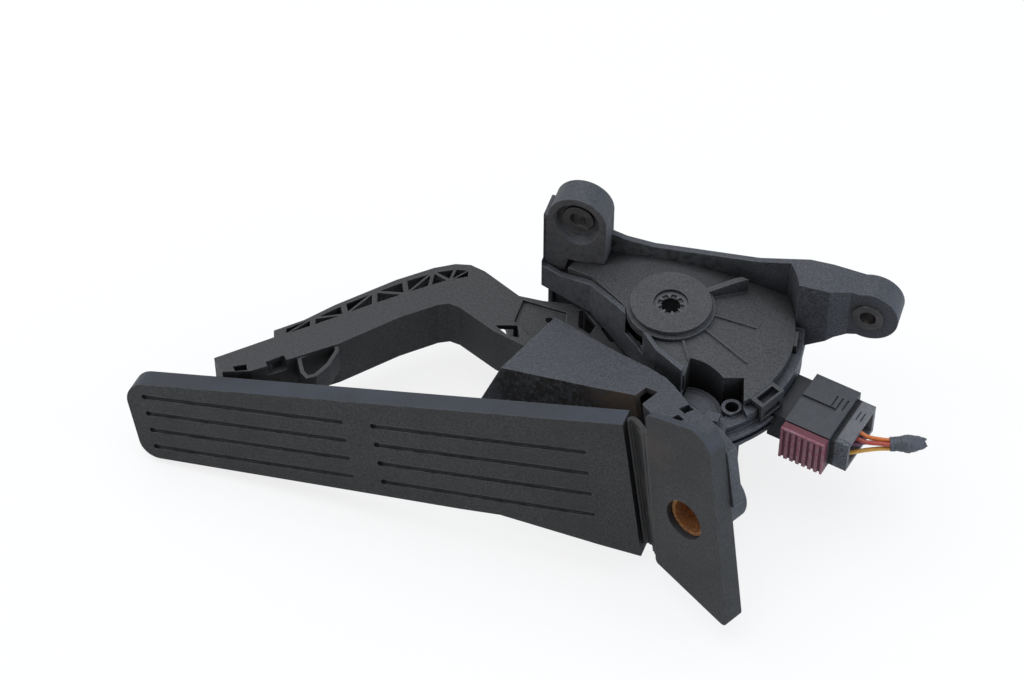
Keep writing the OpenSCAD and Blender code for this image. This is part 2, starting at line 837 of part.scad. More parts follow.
module base_sleeve() {
    color([0.62, 0.36, 0.18]) in_foot_frame() translate([foot_hole[0], 0, foot_hole[1]]) difference() {
        rod_y(sleeve_r, sleeve_recess, sleeve_recess + sleeve_len);
        rod_y(sleeve_r - sleeve_wall, 0, sleeve_recess + sleeve_len - sleeve_floor);
        rod_y(sleeve_bore / 2, 0, foot_thick + 20);
    }
}

// Foot plate outline in the foot frame's X and Z
foot_edge = [[9.8, -12.3], [-64.6, -6.8]];
// Its side edge is thinner, over a ledge of the side plate
foot_lip = 3;
foot_lip_x = -6;
foot_lip_end = -41;
function foot_edge_at(x) = foot_edge[0][1] + (foot_edge[1][1] - foot_edge[0][1]) * (x - foot_edge[0][0])
    / (foot_edge[1][0] - foot_edge[0][0]);
module foot_outline() {
    top_x = foot_length - 83;
    low_z = foot_edge[0][1] - foot_depth + 1;
    offset(r = 2.5) offset(delta = -2.5) difference() {
        polygon([foot_edge[0], [top_x, low_z], [top_x - foot_length, low_z + 2.5], foot_edge[1]]);
        difference() {
            translate([top_x - 12, low_z]) square([20, 12]);
            translate([top_x - 12.5, low_z + 12]) circle(r = 12);
        }
    }
}

module foot_plate() {
    color(black) in_foot_frame() difference() {
        along_y(0, foot_thick) foot_outline();
        translate([foot_lip_x, foot_lip, foot_lip_end]) cube([40, foot_thick, -foot_lip_end]);
        translate([foot_hole[0], 0, foot_hole[1]]) rod_y(foot_hole_r, -1, foot_thick + 1);
    }
}

film_pivot = -3;
film_span = [-62, -4];
film_ridge = 0.7;
module film_hinge() {
    color(dark) {
        in_pad_frame() translate([film_span[0], film_inset, film_pivot])
            cube([film_span[1] - film_span[0], film_thick, pad_low - film_pivot - seat_gap]);
        in_foot_frame() along_y(film_inset, film_inset + film_thick)
            polygon([for (x = film_span) [x, film_pivot], for (x = [film_span[1], film_span[0]]) [x, foot_edge_at(x) + seat_gap]]);
        in_foot_frame() for (i = [0:1]) {
            translate([film_span[0], film_inset - film_ridge, film_pivot - 0.8 - 2 * i])
                cube([film_span[1] - film_span[0], film_ridge + eps, film_ridge]);
        }
    }
}

// Pad outline in the pad frame's X and Z
pad_low = 1;
module pad_outline() {
    offset(r = pad_corner) offset(delta = -pad_corner)
        polygon([[0, pad_low - 20], [0, pad_low], [3.4, pad_length], [3.4 - pad_width_top, pad_length - 2],
            [-44.6, 111], [-48.3, 76.3], [-49.7, 59.2], [-54.2, 42.6],
            [-60.9, 17.9], [-pad_width_low, pad_low], [-pad_width_low, pad_low - 20]]);
}

module pad_shape() {
    intersection() {
        pad_outline();
        translate([-100, pad_low]) square([200, 400]);
    }
}

module groove_line(a, b) {
    along_y(-1, groove_depth) hull() {
        translate(a) circle(d = groove_w);
        translate(b) circle(d = groove_w);
    }
    along_y(-1, groove_depth + 0.4) translate(a) circle(d = groove_w + 0.6);
}

module pedal_pad() {
    color(black) in_pad_frame() difference() {
        along_y(0, pad_thick) pad_shape();
        for (i = [0:3]) {
            groove_line([-3 - i * groove_pitch, pad_length - 9], [-8.6 - i * (groove_pitch + 0.7), 122]);
            groove_line([-9.6 - i * (groove_pitch + 0.9), 108], [-14.8 - i * (groove_pitch + 1.9), 19]);
        }
        pad_pockets();
    }
}

// Moulding pockets in the back of the pad, with the shoe's track left whole
module pad_pockets() {
    for (i = [0:11]) {
        z = 12 + i * 16.4;
        low = -pad_width_low + 5 + (z > 60 ? 15 : z * 0.22) + max(0, (z - 60) * 0.1);
        if (i != 9) {
            translate([low, pad_skin, z]) cube([-low - 4, pad_thick, 13.8]);
        }
    }
}

// Space in the plug for the socket's rim and for the pins
module plug_mouth() {
    ring = socket_wall + 2 * slide_gap;
    translate([-plug_height + 2 - slide_gap, socket_y - slide_gap, -socket_in - slide_gap]) difference() {
        cube([socket_h + 2 * slide_gap, socket_w + 2 * slide_gap, socket_in + 1]);
        translate([ring, ring, -1]) cube([socket_h + 2 * slide_gap - 2 * ring, socket_w + 2 * slide_gap - 2 * ring, 20]);
    }
    translate([-plug_height / 2 - pin_w, socket_y + socket_w / 2 - 3 * pin_pitch, -6 - slide_gap])
        cube([2 * pin_w, 6 * pin_pitch, 8]);
}

module plug_body() {
    half = plug_width / 2;
    color([0.12, 0.12, 0.125]) in_plug_frame() difference() {
        translate([-plug_height, -half + lock_thick + slide_gap, -plug_length])
            cube([plug_height, plug_width - lock_thick - slide_gap, plug_length]);
        plug_mouth();
        // Groove along the upper face and the three short slots
        translate([-1, 1.5, -15.5]) cube([2, 2.2, 16]);
        for (i = [0:2]) {
            translate([-0.8, 4, -plug_length + 2 + i * 2.4]) cube([2, 6, 0.7]);
        }
    }
}

module plug_lock() {
    half = plug_width / 2;
    ribs = 7;
    pitch = (plug_length - 1) / ribs;
    color([0.45, 0.1, 0.16]) in_plug_frame() {
        difference() {
            translate([-plug_height, -half, -plug_length]) cube([plug_height - 0.4, lock_thick, plug_length - 0.5]);
            for (i = [0:ribs - 1]) {
                translate([-plug_height - 1, -half - 1, -plug_length + 0.9 + i * pitch]) cube([plug_height - 0.4, 2, pitch * 0.45]);
            }
        }
    }
}

cap_len = 8;
module plug_cap() {
    color([0.16, 0.16, 0.165]) in_plug_frame() difference() {
        translate([-plug_height + 1, -plug_width / 2 + lock_thick + 2, -plug_length - cap_len])
            cube([plug_height - 3, plug_width - lock_thick - 4, cap_len]);
        translate([-plug_height + 3, -plug_width / 2 + lock_thick + 4, -plug_length - cap_len - 1])
            cube([plug_height - 7, plug_width - lock_thick - 8, cap_len]);
    }
}

// Wires: routes in the pivot's frame, chosen by hand
route_orange = [[-25, -21.5, -81], [-25, -22.5, -86], [-27, -22.5, -90], [-28, -21.4, -95], [-28.3, -20.2, -100],
    [-28, -18.8, -105], [-27.8, -17.2, -110]];
route_yellow = [[-33, -29, -79], [-33, -28, -84], [-31.5, -26, -90], [-31, -24, -95], [-30.7, -22.5, -100],
    [-30.2, -21, -105], [-30, -19.5, -110]];
route_violet = [[-30, -25, -80], [-30.5, -25, -85], [-30, -23, -90], [-30.5, -21.4, -95], [-30.7, -20.2, -100],
    [-30.2, -18.8, -105], [-30, -17.2, -110]];
route_red = [[-27, -23.5, -80.5], [-27, -24.7, -86], [-27.5, -25, -90.5], [-28, -23.8, -95], [-28.3, -22.5, -100],
    [-28, -21, -105], [-27.8, -19.5, -110]];
// Tape round the cut ends, as centre and radius of each station, hollow for the wires
tape_line = [[-29.5, -21.4, -99.2], [-29.3, -20.6, -102], [-29, -19.5, -106], [-29, -18, -110], [-29, -17, -113]];
tape_radius = [3.2, 3.3, 4.1, 3.6, 2.4];
tape_hollow = [[-29.6, -21.7, -98], [-29.3, -20.6, -102], [-29, -19.6, -106], [-28.9, -18.2, -110.6]];
tape_inside = 2.75;

module tube(route, d) {
    sides = 8;
    n = len(route);
    radius = is_list(d) ? d : [for (p = route) d / 2];
    function direction(i) = let (a = route[max(0, i - 1)], b = route[min(n - 1, i + 1)]) (b - a) / norm(b - a);
    function ring(i) = let (t = direction(i), u = cross(t, [1, 0, 0]), uu = u / norm(u), v = cross(t, uu))
        [for (k = [0:sides - 1]) let (b = 360 * k / sides) route[i] + radius[i] * (cos(b) * uu + sin(b) * v)];
    points = [for (i = [0:n - 1]) each ring(i)];
    faces = concat([[for (k = [0:sides - 1]) k]],
        [for (i = [0:n - 2]) for (k = [0:sides - 1]) let (a = i * sides + k, b = i * sides + (k + 1) % sides)
            [a, a + sides, b + sides, b]],
        [[for (k = [sides - 1:-1:0]) (n - 1) * sides + k]]);
    polyhedron(points = points, faces = faces, convexity = 4);
}

module wire_orange() {
    color([0.85, 0.4, 0.1]) tube(route_orange, wire_d);
}

module wire_yellow() {
    color([0.85, 0.7, 0.1]) tube(route_yellow, wire_d);
}

module wire_violet() {
    color([0.4, 0.2, 0.4]) tube(route_violet, wire_d);
}

module wire_red() {
    color([0.6, 0.15, 0.1]) tube(route_red, wire_d);
}

module tape_wrap() {
    color([0.2, 0.22, 0.26]) difference() {
        tube(tape_line, tape_radius);
        tube(tape_hollow, 2 * tape_inside);
    }
}

place() main_frame();
place() sensor_cover();
place() star_ring();
place() pivot_shaft();
place() pivot_bearings();
place() friction_ring();
place() return_spring_outer();
place() return_spring_inner();
place() circuit_board();
place() contact_pins();
place() connector_socket();
place() cover_seal();
place() ear_bushes();
place() base_sleeve();
place() foot_plate();
place() film_hinge();
place() pedal_pad();
place() lever_arm();
place() lever_shoe();
place() magnet_rotor();
place() plug_body();
place() plug_lock();
place() plug_cap();
place() wire_orange();
place() wire_yellow();
place() wire_violet();
place() wire_red();
place() tape_wrap();
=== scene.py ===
"""Looks of a floor-mounted accelerator pedal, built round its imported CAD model.

All lengths are in metres, in the model's own axes: X is the driver's right, Y points forward, Z is up.
"""

import json
import math
import random

import bmesh
import bpy
from mathutils import Matrix, Vector
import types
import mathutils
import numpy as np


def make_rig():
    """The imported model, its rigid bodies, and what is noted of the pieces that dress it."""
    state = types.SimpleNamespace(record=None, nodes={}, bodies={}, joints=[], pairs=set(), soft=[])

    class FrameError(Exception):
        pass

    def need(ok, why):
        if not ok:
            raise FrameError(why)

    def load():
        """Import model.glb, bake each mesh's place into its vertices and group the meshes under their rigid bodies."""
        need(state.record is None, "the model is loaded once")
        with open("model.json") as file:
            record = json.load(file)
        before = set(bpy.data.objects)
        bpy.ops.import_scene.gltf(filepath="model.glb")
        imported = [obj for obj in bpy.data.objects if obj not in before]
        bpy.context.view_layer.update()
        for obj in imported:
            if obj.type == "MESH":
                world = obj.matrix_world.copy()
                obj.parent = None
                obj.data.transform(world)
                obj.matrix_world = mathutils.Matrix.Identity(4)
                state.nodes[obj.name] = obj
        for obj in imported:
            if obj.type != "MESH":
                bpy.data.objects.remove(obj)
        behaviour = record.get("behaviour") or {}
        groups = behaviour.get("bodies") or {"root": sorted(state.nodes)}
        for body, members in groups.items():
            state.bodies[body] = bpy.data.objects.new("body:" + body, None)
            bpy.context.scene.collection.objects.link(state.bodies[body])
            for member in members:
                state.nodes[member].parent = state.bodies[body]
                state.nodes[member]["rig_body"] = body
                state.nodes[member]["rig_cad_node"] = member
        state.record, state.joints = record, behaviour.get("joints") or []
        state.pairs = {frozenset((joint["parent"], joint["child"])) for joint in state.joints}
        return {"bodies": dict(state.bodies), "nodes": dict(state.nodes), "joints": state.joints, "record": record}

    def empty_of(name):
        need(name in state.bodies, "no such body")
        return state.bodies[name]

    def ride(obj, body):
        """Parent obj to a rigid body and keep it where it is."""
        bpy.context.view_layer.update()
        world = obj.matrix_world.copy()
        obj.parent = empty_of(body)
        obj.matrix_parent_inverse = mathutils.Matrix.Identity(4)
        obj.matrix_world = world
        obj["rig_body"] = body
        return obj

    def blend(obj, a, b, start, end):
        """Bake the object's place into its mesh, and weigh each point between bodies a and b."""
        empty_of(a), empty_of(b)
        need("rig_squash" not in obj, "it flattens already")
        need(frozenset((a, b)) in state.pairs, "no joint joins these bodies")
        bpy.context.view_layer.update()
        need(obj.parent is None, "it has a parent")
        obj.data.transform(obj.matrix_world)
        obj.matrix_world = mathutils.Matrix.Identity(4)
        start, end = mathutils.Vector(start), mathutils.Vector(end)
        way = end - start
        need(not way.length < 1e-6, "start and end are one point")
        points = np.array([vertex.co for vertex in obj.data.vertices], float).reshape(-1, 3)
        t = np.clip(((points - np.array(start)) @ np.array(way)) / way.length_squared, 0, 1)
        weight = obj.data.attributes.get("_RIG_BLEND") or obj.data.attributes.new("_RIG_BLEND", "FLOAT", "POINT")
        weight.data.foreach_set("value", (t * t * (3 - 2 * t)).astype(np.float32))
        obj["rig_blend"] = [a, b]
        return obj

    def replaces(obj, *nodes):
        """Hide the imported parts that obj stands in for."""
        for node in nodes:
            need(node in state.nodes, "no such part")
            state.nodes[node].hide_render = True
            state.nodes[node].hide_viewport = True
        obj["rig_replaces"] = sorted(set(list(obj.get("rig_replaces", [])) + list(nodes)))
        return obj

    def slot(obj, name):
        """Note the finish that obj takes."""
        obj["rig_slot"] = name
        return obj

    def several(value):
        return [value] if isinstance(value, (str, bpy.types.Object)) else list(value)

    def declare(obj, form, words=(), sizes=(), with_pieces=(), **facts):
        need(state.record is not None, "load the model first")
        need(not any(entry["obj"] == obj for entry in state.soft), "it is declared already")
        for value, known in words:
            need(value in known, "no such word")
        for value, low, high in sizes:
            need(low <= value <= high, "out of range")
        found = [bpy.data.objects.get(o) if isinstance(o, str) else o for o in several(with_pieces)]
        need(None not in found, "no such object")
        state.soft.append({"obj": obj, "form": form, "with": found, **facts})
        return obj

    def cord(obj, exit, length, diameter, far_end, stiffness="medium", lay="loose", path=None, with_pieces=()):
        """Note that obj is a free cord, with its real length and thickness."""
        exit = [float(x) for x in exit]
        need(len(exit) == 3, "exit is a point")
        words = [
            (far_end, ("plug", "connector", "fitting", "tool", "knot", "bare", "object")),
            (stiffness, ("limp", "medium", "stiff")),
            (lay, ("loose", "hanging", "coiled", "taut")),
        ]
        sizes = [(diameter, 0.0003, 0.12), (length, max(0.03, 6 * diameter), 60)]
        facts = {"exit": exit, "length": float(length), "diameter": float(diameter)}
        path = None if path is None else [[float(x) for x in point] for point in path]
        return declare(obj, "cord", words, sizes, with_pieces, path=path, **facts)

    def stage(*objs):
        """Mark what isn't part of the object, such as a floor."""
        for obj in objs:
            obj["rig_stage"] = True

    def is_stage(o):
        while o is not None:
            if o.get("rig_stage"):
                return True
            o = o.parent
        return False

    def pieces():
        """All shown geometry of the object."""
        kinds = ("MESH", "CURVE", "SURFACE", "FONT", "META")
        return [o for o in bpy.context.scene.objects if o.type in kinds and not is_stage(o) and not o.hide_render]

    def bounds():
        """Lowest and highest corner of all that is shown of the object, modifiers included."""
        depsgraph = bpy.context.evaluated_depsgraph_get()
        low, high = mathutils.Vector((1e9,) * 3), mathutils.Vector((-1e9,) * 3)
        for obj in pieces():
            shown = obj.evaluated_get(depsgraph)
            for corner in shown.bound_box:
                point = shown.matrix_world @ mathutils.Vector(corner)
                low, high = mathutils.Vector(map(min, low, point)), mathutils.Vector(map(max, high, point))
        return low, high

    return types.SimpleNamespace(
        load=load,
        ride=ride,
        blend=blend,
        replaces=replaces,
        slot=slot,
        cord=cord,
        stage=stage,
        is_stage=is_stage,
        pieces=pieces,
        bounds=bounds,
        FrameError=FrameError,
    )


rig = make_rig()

bl_info = {
    "name": "Accelerator pedal looks",
    "version": (1, 0, 0),
    "blender": (4, 5, 0),
    "location": "View3D > Sidebar > Pedal",
    "description": "Materials, cut wires and studio for a floor-mounted accelerator pedal",
    "category": "Object",
}

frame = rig.load()
CAD_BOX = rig.bounds()
NODES = frame["nodes"]

# The photograph's camera, found from the model's corners in the picture
CAMERA_PLACE = (0.8871, -0.8423, -0.2415)
CAMERA_RIGHT = (0.0, 0.3090, -0.9511)
CAMERA_UP = (0.6691, 0.7068, 0.2296)
PIXELS_PER_FOCUS = 3000.0
PHOTO_WIDTH = 1024.0
SENSOR_WIDTH = 36.0

FLOOR_GAP = 0.0005
FLOOR_REACH = 3.0
SKY_STRENGTH = 0.36
LAMPS_AIM = Vector((-0.03, -0.06, 0.0))
# Name, place, width, power in watts and colour
LAMPS = (
    ("sky", (1.5, 0.1, 0.5), 2.2, 30.0, (0.92, 0.95, 1.0)),
    ("window", (0.5, 0.1, -1.3), 1.0, 9.0, (0.7, 0.82, 1.0)),
    ("room", (0.3, -1.3, 1.2), 1.2, 5.0, (1.0, 0.98, 0.95)),
)


class Link:
    """One socket of a shader tree; Python's operators add Math nodes to it."""

    def __init__(self, tree, socket):
        self.tree = tree
        self.socket = socket

    def math(self, operation, *others, clamp=False):
        return self.tree.add(
            "ShaderNodeMath", {"operation": operation, "use_clamp": clamp}, dict(enumerate((self, *others)))
        )

    def __add__(self, other):
        return self.math("ADD", other)

    def __mul__(self, other):
        return self.math("MULTIPLY", other)

    def __sub__(self, other):
        return self.math("SUBTRACT", other)

    def __rsub__(self, other):
        return self.tree.add("ShaderNodeMath", {"operation": "SUBTRACT"}, {0: other, 1: self})

    def clamped(self):
        return self.math("ADD", 0.0, clamp=True)

    def ramp(self, low, high):
        """0 at low, 1 at high, smooth between."""
        return self.tree.add(
            "ShaderNodeMapRange",
            {"interpolation_type": "SMOOTHSTEP"},
            {"Value": self, "From Min": low, "From Max": high},
        )


class Finish:
    """A material and its shader tree."""

    def __init__(self, name):
        self.material = bpy.data.materials.new(name)
        self.material.use_nodes = True
        self.tree = self.material.node_tree
        self.shader = self.tree.nodes["Principled BSDF"]

    def add(self, kind, settings=None, inputs=None, output=0):
        """Adds a node: its settings first, then the values or links of its sockets."""
        node = self.tree.nodes.new(kind)
        for key, value in (settings or {}).items():
            setattr(node, key, value)
        for key, value in (inputs or {}).items():
            self.feed(node.inputs[key], value)
        return Link(self, node.outputs[output])

    def feed(self, socket, value):
        if isinstance(value, Link):
            self.tree.links.new(value.socket, socket)
        elif socket.type == "RGBA":
            socket.default_value = (*value, 1.0)[:4]
        else:
            socket.default_value = value

    def vector(self, operation, first, second, output=0):
        return self.add("ShaderNodeVectorMath", {"operation": operation}, {0: first, 1: second}, output)

    def place(self):
        """Where a point lies in the model's axes."""
        return self.add("ShaderNodeTexCoord", output=3)

    def facing_up(self):
        """How far the surface faces along X, the picture's up, from -1 to 1."""
        normal = self.add("ShaderNodeNewGeometry", output=1)
        return self.add("ShaderNodeSeparateXYZ", inputs={0: normal})

    def noise(self, size, detail=4.0, rough=0.55, stretch=None):
        """Noise with features of about that size in metres."""
        where = self.place()
        if stretch:
            where = self.vector("MULTIPLY", where, stretch)
        return self.add(
            "ShaderNodeTexNoise",
            inputs={"Vector": where, "Scale": 1.0 / size, "Detail": detail, "Roughness": rough},
        )

    def near(self, point, inner, outer):
        """1 within inner of a point, 0 beyond outer."""
        far = self.vector("DISTANCE", self.place(), point, output=1)
        return 1 - far.ramp(inner, outer)

    def local(self, axes):
        """Where a point lies in tilted axes, as three links."""
        turn, origin = axes.to_3x3(), axes.to_translation()
        offset = self.vector("SUBTRACT", self.place(), origin)
        return [self.vector("DOT_PRODUCT", offset, turn.col[i], output=1) for i in range(3)]

    def between(self, link, low, high):
        """1 where the link lies between low and high, with soft borders."""
        soft = 0.0002
        return link.ramp(low - soft, low + soft) * (1 - link.ramp(high - soft, high + soft))

    def corners(self, radius):
        """1 on outer and inner edges, where the rounded normal leaves the true one."""
        soft = self.add("ShaderNodeBevel", {"samples": 8}, {"Radius": radius})
        flat = self.add("ShaderNodeNewGeometry", output=1)
        meet = self.vector("DOT_PRODUCT", soft, flat, output=1)
        return (1 - meet).ramp(0.01, 0.12)

    def hollow(self, reach):
        """0 in the open, up to 1 deep in slots, pockets and corners."""
        open_share = self.add("ShaderNodeAmbientOcclusion", {"samples": 8}, {"Distance": reach}, output=1)
        return (1 - open_share).ramp(0.12, 0.8)

    def mix(self, factor, first, second):
        node = self.tree.nodes.new("ShaderNodeMix")
        node.data_type = "RGBA"
        for socket, value in zip([node.inputs[0], node.inputs[6], node.inputs[7]], (factor, first, second)):
            self.feed(socket, value)
        return Link(self, node.outputs[2])

    def finish(self, colour, rough, height=None, depth=0.0, edge=0.0, **fixed):
        """Feeds the shader: edge is the radius of softened corners, depth the height of the relief."""
        self.feed(self.shader.inputs["Base Color"], colour)
        self.feed(self.shader.inputs["Roughness"], rough)
        for name, value in fixed.items():
            self.feed(self.shader.inputs[name.replace("_", " ")], value)
        soft = self.add("ShaderNodeBevel", {"samples": 6}, {"Radius": edge}) if edge else None
        if height is not None:
            bumped = {"Height": height, "Distance": depth, "Strength": 1.0}
            if soft:
                bumped["Normal"] = soft
            soft = self.add("ShaderNodeBump", {}, bumped)
        if soft:
            self.feed(self.shader.inputs["Normal"], soft)
        return self.material


# Colours of grime and dust, and the near-black of a painted shade
BROWN = (0.07, 0.05, 0.036)
PAINTED_SHADE = (0.012, 0.011, 0.01)
GRIT = (0.075, 0.062, 0.05)
PALE_DUST = (0.095, 0.095, 0.1)
STRIP_DUST = (0.075, 0.066, 0.055)
STREAK = (0.16, 0.13, 0.1)

# Sizes of the surface features, of the painted edge highlight and of the painted shade's reach, in metres
HAZE_SIZE = 0.035
SPECK_SIZE = 0.0008
RUB_AND_HIGHLIGHT_SIZE = 0.006
SCUFF_SIZE = 0.004
GRIT_SIZE = 0.003
STAIN_SIZE = 0.003
HOLLOW_REACH = 0.014
SMALL_EDGE = 0.0003


def tint(colour, times, plus=0.0):
    return [min(1.0, c * times + plus) for c in colour]


def grained_moulding(
    name, colour, rough, edge, grain=0.0006, depth=0.00006, top_light_and_dust=0.25, stains_and_shade=(), shine=0.4, top_light_and_dust_colour=None
):
    """Glass-filled black moulding: fine grain, a dull grey painted top light with dust in patches, painted shade
    in hollows, rubbed edges with a painted highlight, scuffs and local grime.

    Each spot is its centre, its inner and outer radius, its strength and its colour; the spots are grime
    and painted shade.
    """
    f = Finish(name)
    patches = f.noise(HAZE_SIZE, 5.0, 0.6).ramp(0.35, 0.7)
    speck = f.noise(SPECK_SIZE, 3.0, 0.75).ramp(0.36, 0.66)
    # Painted light from above, with dust: faces turned up along X are lightened, in patches
    dust = (f.facing_up().ramp(0.2, 0.95) * (patches * 0.5 + 0.5) * top_light_and_dust).clamped()
    shade = f.mix(speck, tint(colour, 0.5), tint(colour, 1.75))
    shade = f.mix(patches * 0.3, shade, tint(colour, 0.7))
    shade = f.mix(dust, shade, top_light_and_dust_colour or tint(colour, 1.6, 0.03))
    # Painted shade: darker deep in slots, pockets and corners
    shade = f.mix(f.hollow(HOLLOW_REACH) * 0.85, shade, tint(colour, 0.16))
    # Painted highlight with wear: edges are lightened, in patches
    rubbed_and_highlit = f.corners(edge * 1.2) * f.noise(RUB_AND_HIGHLIGHT_SIZE, 5.0, 0.7).ramp(0.3, 0.65)
    shade = f.mix(rubbed_and_highlit * 0.7, shade, tint(colour, 2.6, 0.03))
    scuffs = f.noise(SCUFF_SIZE, 3.0, 0.8, (1.0, 1.0, 0.12)).ramp(0.68, 0.78)
    shade = f.mix(scuffs * 0.12, shade, tint(colour, 2.2, 0.02))
    roughness = patches * 0.08 + speck * 0.06 + rough
    # Spots of grime, and a painted shade, only on faces that don't turn up
    for point, inner, outer, amount, spot_colour in stains_and_shade:
        spot = f.near(point, inner, outer)
        upright = 1 - f.facing_up().ramp(0.45, 0.8)
        spot = (spot * upright * f.noise(GRIT_SIZE, 6.0, 0.75).ramp(0.36, 0.56) * amount).clamped()
        shade = f.mix(spot, shade, spot_colour)
        roughness = roughness + spot * 0.3
    grains = f.noise(grain, 2.0, 0.6)
    return f.finish(shade, roughness, grains, depth, edge, Specular_IOR_Level=shine)


def worn_metal(name, colour, spot_colour, amount, rough, metallic=1.0, **fixed):
    """Plain metal with stains in patches; amount is the stained share, from 0 to 1."""
    f = Finish(name)
    patch = f.noise(STAIN_SIZE, 6.0, 0.7).ramp(0.62 - 0.3 * amount, 0.8 - 0.3 * amount).clamped()
    fine = f.noise(0.0006, 3.0, 0.7)
    shade = f.mix(patch, f.mix(fine * 0.4, colour, tint(colour, 0.6)), spot_colour)
    f.feed(f.shader.inputs["Metallic"], (1 - patch * 0.85) * metallic)
    return f.finish(shade, patch * (0.9 - rough) + rough, patch + fine * 0.3, 0.00008, SMALL_EDGE, **fixed)


def smooth_plastic(name, colour, rough, streak=0.0):
    """Small smooth moulding with faint dust."""
    f = Finish(name)
    dust = f.noise(0.004, 5.0, 0.7).ramp(0.4, 0.75)
    shade = f.mix(dust * 0.35, colour, tint(colour, 1.3, 0.03))
    if streak:
        shade = f.mix(f.noise(0.0015, 4.0, 0.8).ramp(0.55, 0.7) * streak, shade, STREAK)
    return f.finish(shade, dust * 0.15 + rough, f.noise(0.0005, 2.0), 0.00002, SMALL_EDGE)


def wrapped_tape(name, colour):
    """Cloth-backed tape: a fine weave, soft sheen on the turns and frayed pale edges."""
    f = Finish(name)
    weave = f.noise(0.00045, 2.0, 0.6, (1.0, 1.0, 0.3))
    worn = f.noise(0.0022, 5.0, 0.75).ramp(0.45, 0.7)
    shade = f.mix(worn * 0.6, colour, tint(colour, 2.1))
    shade = f.mix(weave * 0.35, shade, tint(colour, 0.5))
    return f.finish(shade, worn * 0.2 + 0.5, weave, 0.00012, 0.0002)


def insulation(name, colour):
    """Thin-wall wire insulation with a waxy shine and streaks of dust."""
    f = Finish(name)
    dust = f.noise(0.002, 4.0, 0.7).ramp(0.5, 0.75)
    shade = f.mix(dust * 0.4, colour, tint(colour, 0.5, 0.12))
    return f.finish(shade, dust * 0.3 + 0.32, f.noise(0.0008, 2.0), 0.00003, Coat_Weight=0.15)


def dress(finish, *names):
    """Gives the CAD nodes of these names a finish, under the slot that the record gives them."""
    for name in names:
        node = NODES[name]
        node.data.materials.clear()
        node.data.materials.append(finish)
        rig.slot(node, node_slot(name))


def node_slot(name):
    return next(s["material_slot"] for s in frame["record"]["subparts"] if s["node"] == name)


def colour_property(name, description, default):
    return bpy.props.FloatVectorProperty(
        name=name, description=description, subtype="COLOR", size=3, default=default
    )


class PedalColours(bpy.types.PropertyGroup):
    """Colours of the pedal's mouldings."""

    moulding: colour_property("Moulding", "Frame, lever and cover", (0.045, 0.047, 0.054))
    pad: colour_property("Pad", "Pad, foot plate and the strip between them", (0.0225, 0.0222, 0.0222))
    lock: colour_property("Lock", "Slide of the plug", (0.27, 0.055, 0.085))
    cap: colour_property("Cap", "Rear cap of the plug", (0.14, 0.14, 0.146))


class PedalSizes(bpy.types.PropertyGroup):
    """Sizes of what is added to the CAD model."""

    wire: bpy.props.FloatProperty(
        name="Wire", description="Diameter of one wire", unit="LENGTH", default=0.0018
    )
    soft_edge: bpy.props.FloatProperty(
        name="Soft edge",
        description="Radius that moulded edges look rounded by",
        unit="LENGTH",
        default=0.0008,
    )


def colours():
    return bpy.context.scene.pedal_colours


def sizes():
    return bpy.context.scene.pedal_sizes


# The model's origin, the upper ear's bore, as measured from the lever's pivot in millimetres
PIVOT_TO_EAR = Vector((12.5, 32.0, 46.5))


def from_pivot(*points):
    """Points from the pivot in millimetres, as points of the frame in metres."""
    return [(Vector(p) - PIVOT_TO_EAR) / 1000.0 for p in points]


def tilted(origin, *turns):
    """Axes whose origin is given from the pivot, turned by degrees about themselves in order."""
    axes = Matrix.Translation(from_pivot(origin)[0])
    for axis, degrees in turns:
        axes = axes @ Matrix.Rotation(math.radians(degrees), 4, axis)
    return axes


HINGE = (4, -72.3, -1.8)
PAD_FRAME = tilted(HINGE, ("Z", 12), ("Y", -12))
FOOT_FRAME = tilted(HINGE, ("Z", 12), ("Y", -12), ("X", -27))
PLUG_FRAME = tilted((-20, -18, -59.7), ("X", -13))


def smooth_line(points, steps):
    """The points joined by a smooth curve that passes through each of them."""
    line = []
    for i in range(len(points) - 1):
        before, a = points[max(0, i - 1)], points[i]
        b, after = points[i + 1], points[min(len(points) - 1, i + 2)]
        for k in range(steps):
            t = k / steps
            line.append(
                0.5 * ((2 * a) + (b - before) * t + (2 * before - 5 * a + 4 * b - after) * t**2
                       + (3 * a - before - 3 * b + after) * t**3)
            )
    return [*line, points[-1].copy()]


def line_length(line):
    return sum((b - a).length for a, b in zip(line, line[1:]))


def along(line, share):
    """Point and direction at a share of the line's length."""
    place = share * (len(line) - 1)
    i = min(int(place), len(line) - 2)
    return line[i].lerp(line[i + 1], place - i), (line[i + 1] - line[i]).normalized()


def join_loops(work, loops):
    """Strips of quads from each loop of vertices to the next."""
    for first, second in zip(loops, loops[1:]):
        count = len(first)
        for j in range(count):
            work.faces.new((first[j], first[(j + 1) % count], second[(j + 1) % count], second[j]))


def close_ends(work, loops):
    work.faces.new(list(reversed(loops[0])))
    work.faces.new(loops[-1])


def new_piece(name, work, material, smooth_quads=False, smooth_rest=False):
    """Object made of the finished bmesh; frees it."""
    bmesh.ops.recalc_face_normals(work, faces=work.faces)
    for face in work.faces:
        face.smooth = smooth_quads if len(face.verts) == 4 else smooth_rest
    mesh = bpy.data.meshes.new(name)
    work.to_mesh(mesh)
    work.free()
    mesh.materials.append(material)
    piece = bpy.data.objects.new(name, mesh)
    bpy.context.scene.collection.objects.link(piece)
    return piece


